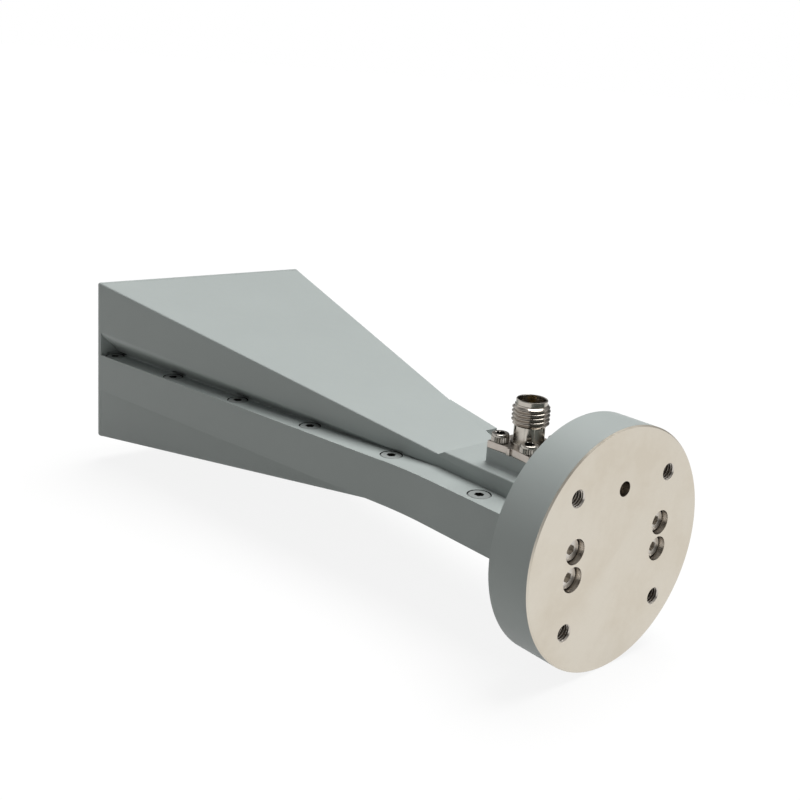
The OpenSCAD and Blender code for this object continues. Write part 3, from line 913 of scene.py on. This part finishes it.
def cap_screw(head_r, head_h, hex_across, shank_r, shank_l, flutes, flute_deep, fine=6):
    mesh = bmesh.new()
    bmesh.ops.create_circle(mesh, segments=flutes * fine, radius=shank_r * MM)
    bmesh.ops.translate(mesh, verts=mesh.verts, vec=(0, 0, -shank_l * MM))
    loop = mesh.edges[:]
    bmesh.ops.edgeloop_fill(mesh, edges=loop)

    def knurl(angle):
        return head_r - flute_deep * (0.5 + 0.5 * math.cos(angle * flutes)) ** KNURL_SHARPNESS

    def hexagon(share):
        sixth = math.pi / 3
        return lambda angle: share * hex_across / 2 / math.cos((angle % sixth) - sixth / 2)

    top, socket_floor = head_h, head_h * SOCKET_FLOOR_SHARE
    grip = [(shank_r, 0), (head_r - 0.14, 0), (head_r - 0.03, 0.08), (knurl, 0.16), (knurl, 0.62 * top)]
    band = [(head_r - 0.03, 0.68 * top), (head_r - 0.01, 0.72 * top), (head_r - 0.02, top - 0.16)]
    crown = [(head_r - 0.07, top - 0.06), (head_r - 0.17, top), (head_r * 0.80, top)]
    socket = [
        (hexagon(SOCKET_CHAMFER), top), (hexagon(1.0), top - 0.06), (hexagon(1.0), socket_floor),
        (hexagon(0.35), socket_floor - 0.2),
    ]
    for radius_at, height in grip + band + crown + socket:
        loop = ring_above(mesh, loop, radius_at, height)
    bmesh.ops.edgeloop_fill(mesh, edges=loop)
    # Faces inside the socket take the second slot, a near-black painted shade.
    for face in mesh.faces:
        centre = face.calc_center_median() / MM
        if math.hypot(centre.x, centre.y) < hex_across / 2 * SOCKET_EDGE and 0 < centre.z < top - SKIN:
            face.material_index = 1
    bmesh.ops.dissolve_degenerate(mesh, edges=mesh.edges, dist=MODEL_WELD)
    return mesh


# %% Knurled screws of the connector
CONN_PITCH = 6.6
PLATE_TOP = 11.05
SCREW_CORNERS = ((-1, -1), (-1, 1), (1, -1), (1, 1))
SCREW_TURNS = (12, 35, 50, 21)

plate_screws = cap_screw(
    head_r=1.5, head_h=1.5, hex_across=1.5, shank_r=0.8, shank_l=4.0, flutes=22, flute_deep=0.2,
)
place_copies(plate_screws, [
    Matrix.Translation((CONNECTOR_X + x * CONN_PITCH / 2 * MM, y * CONN_PITCH / 2 * MM, PLATE_TOP * MM))
    @ Matrix.Rotation(math.radians(degrees), 4, "Z")
    for (x, y), degrees in zip(SCREW_CORNERS, SCREW_TURNS)
])
finish_piece(
    "plate_screws", plate_screws, [knurl_steel, socket_painted_shade],
    ["connector_screws"], smooth_below=28,
)

# %% [markdown]
# ## Connector plate
# The connector stands on a plate that is milled square, with one small notch in an edge. Its
# outline is drawn flat, extruded to its thickness, and its edges get a small bevel. It stands
# for the connector's node, and the barrel and the thread are added to it.

# %% Connector plate
PLATE_W, PLATE_T, NOTCH_W, NOTCH_D = 9.5, 1.2, 0.8, 0.35
SHORT_EDGE, PLATE_BREAK = 0.3, 0.05

plate = bmesh.new()
half, notch = PLATE_W / 2, NOTCH_W / 2
plate_corners = [
    (-half, -half), (half, -half), (half, half), (notch, half), (notch, half - NOTCH_D),
    (-notch, half - NOTCH_D), (-notch, half), (-half, half),
]
plate_base = [plate.verts.new((x * MM, y * MM, (PLATE_TOP - PLATE_T) * MM)) for x, y in plate_corners]
bmesh.ops.contextual_create(plate, geom=plate_base)
raised = bmesh.ops.extrude_face_region(plate, geom=plate.faces[:])["geom"]
bmesh.ops.translate(plate, verts=corners_in(raised), vec=(0, 0, PLATE_T * MM))
bmesh.ops.recalc_face_normals(plate, faces=plate.faces)
long_edges = [edge for edge in plate.edges if edge.calc_length() > SHORT_EDGE * MM]
bmesh.ops.bevel(
    plate, geom=long_edges, offset=PLATE_BREAK * MM, offset_type="OFFSET", segments=2, profile=0.5,
    affect="EDGES", material=-1, clamp_overlap=True,
)
bmesh.ops.translate(plate, verts=plate.verts, vec=(CONNECTOR_X, 0, 0))
finish_piece("connector_plate", plate, [plate_steel], ["connector_body"])

# %% [markdown]
# ## Connector barrel
# The barrel is turned from stainless bar, hollow, with a wide socket mouth and a narrow air
# line below it. Its outline runs up the outside, over the rim and down the inside. The neck
# has four flats for a spanner, made by moving the corners on the neck's wall in to the flats.

# %% Connector barrel
BOSS_R, BOSS_H, NECK_R, FLAT = 3.0, 0.45, 2.6, 2.2
THREAD_LOW, THREAD_HIGH, CREST_R = 14.4, 17.95, 3.175
RIM_R, BARREL_TOP, SOCKET_R, SOCKET_DEEP = 2.625, 18.8, 2.35, 1.95
AIRLINE_R, BEAD_TOP = 1.46, 13.4
BARREL_FOOT = PLATE_TOP - 0.3
BOSS_TOP = PLATE_TOP + BOSS_H
SOCKET_FLOOR = BARREL_TOP - SOCKET_DEEP
EDGE, RIM_EDGE, BORE_EDGE, BORE_DRAFT = 0.06, 0.1, 0.05, 0.02
NECK_END, RIM_START = THREAD_LOW + 0.3, THREAD_LOW + 0.4

barrel = lathe([
    (BOSS_R, BARREL_FOOT), (BOSS_R, BOSS_TOP - EDGE), (BOSS_R - EDGE, BOSS_TOP), (NECK_R, BOSS_TOP),
    (NECK_R, THREAD_LOW), (NECK_R, NECK_END), (RIM_R, RIM_START),
    (RIM_R, BARREL_TOP - RIM_EDGE), (RIM_R - RIM_EDGE, BARREL_TOP), (SOCKET_R + EDGE, BARREL_TOP),
    (SOCKET_R, BARREL_TOP - EDGE), (SOCKET_R, SOCKET_FLOOR), (AIRLINE_R + BORE_EDGE, SOCKET_FLOOR),
    (AIRLINE_R, SOCKET_FLOOR - BORE_EDGE), (AIRLINE_R, BEAD_TOP), (AIRLINE_R + BORE_DRAFT, BARREL_FOOT),
    (BOSS_R, BARREL_FOOT),
], steps=128)
for vert in barrel.verts:
    on_neck = abs(math.hypot(vert.co.x, vert.co.y) / MM - NECK_R) < SKIN
    if on_neck and BOSS_TOP - SKIN < vert.co.z / MM < THREAD_LOW + SKIN:
        vert.co.x = min(max(vert.co.x, -FLAT * MM), FLAT * MM)
        vert.co.y = min(max(vert.co.y, -FLAT * MM), FLAT * MM)
bmesh.ops.translate(barrel, verts=barrel.verts, vec=(CONNECTOR_X, 0, 0))
finish_piece("connector_barrel", barrel, [connector_steel])

# %% [markdown]
# ## Coupling thread
# Above the flats stands a 1/4-36 coupling thread. It is cut as a real helix, since its crests
# are the brightest lines on it. Its two ends are drawn in under the barrel's surface and
# joined there, so the piece is closed.

# %% Coupling thread
UNS_PITCH = 25.4 / 36
UNS_ROOT = 2.76
CREST_EDGE_R = CREST_R - 0.03
UNDER_NECK_R, UNDER_RIM_R = 2.1, 2.5

coupling_tooth = [
    (UNS_ROOT, 0), (UNS_ROOT, 0.06), (CREST_EDGE_R, 0.33), (CREST_R, 0.36), (CREST_R, 0.42),
    (CREST_EDGE_R, 0.45), (UNS_ROOT, 0.69), (UNS_ROOT, UNS_PITCH),
]
coupling = screw_thread(coupling_tooth, UNS_PITCH, THREAD_LOW, THREAD_HIGH, UNS_ROOT, steps=72)
rims = [edge for edge in coupling.edges if len(edge.link_faces) == 1]
hidden = []
for height, radius in ((THREAD_LOW, UNDER_NECK_R), (THREAD_HIGH, UNDER_RIM_R)):
    loop = [edge for edge in rims if all(abs(vert.co.z / MM - height) < SKIN for vert in edge.verts)]
    hidden += ring_above(coupling, loop, radius, height)
bmesh.ops.bridge_loops(coupling, edges=hidden)
bmesh.ops.translate(coupling, verts=coupling.verts, vec=(CONNECTOR_X, 0, 0))
finish_piece("coupling_thread", coupling, [thread_steel])

# %% [markdown]
# ## Screws of the flange
# The measured screws of the flange already have the right shape, so a merged copy of them
# stands for their node and only gets two finishes: paint on the head, and a near-black
# painted shade in the socket, which paint and light hardly reach.

# %% Painted screws of the flange
SOCKET_REACH = 0.86
SOCKET_LOW, SOCKET_HIGH = 2.2, 3.98

flange_screws = merged_copy("ledge_screws")
for face in flange_screws.faces:
    centre = face.calc_center_median() / MM
    reach = min(math.hypot(centre.x - x, centre.y - y) for x, y in ledge_screw_places)
    # Faces deep in a socket get the near-black painted shade.
    if reach < SOCKET_REACH and SOCKET_LOW < abs(centre.z) < SOCKET_HIGH:
        face.material_index = 1
finish_piece(
    "flange_screws", flange_screws, [screw_paint, socket_painted_shade], ["ledge_screws"],
    smooth_below=25,
)

# %% [markdown]
# ## The rest
# The screws of the disc, the pins, the plastic parts and the plated inner conductor keep their
# measured shapes, because a small or hidden piece gains nothing from a second mesh. Each only
# gets its finish.


# %% Dress the inner pieces and small fasteners
def dress(node, material):
    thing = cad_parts[node]
    thing.data.materials.clear()
    thing.data.materials.append(material)
    print(node, "->", material.name)


dress("disc_screws", screw_steel)
dress("alignment_pins", pin_steel)
dress("support_bead", bead_plastic)
dress("dielectric_sleeve", sleeve_plastic)
dress("centre_contact", gold)
dress("launch_probe", gold)
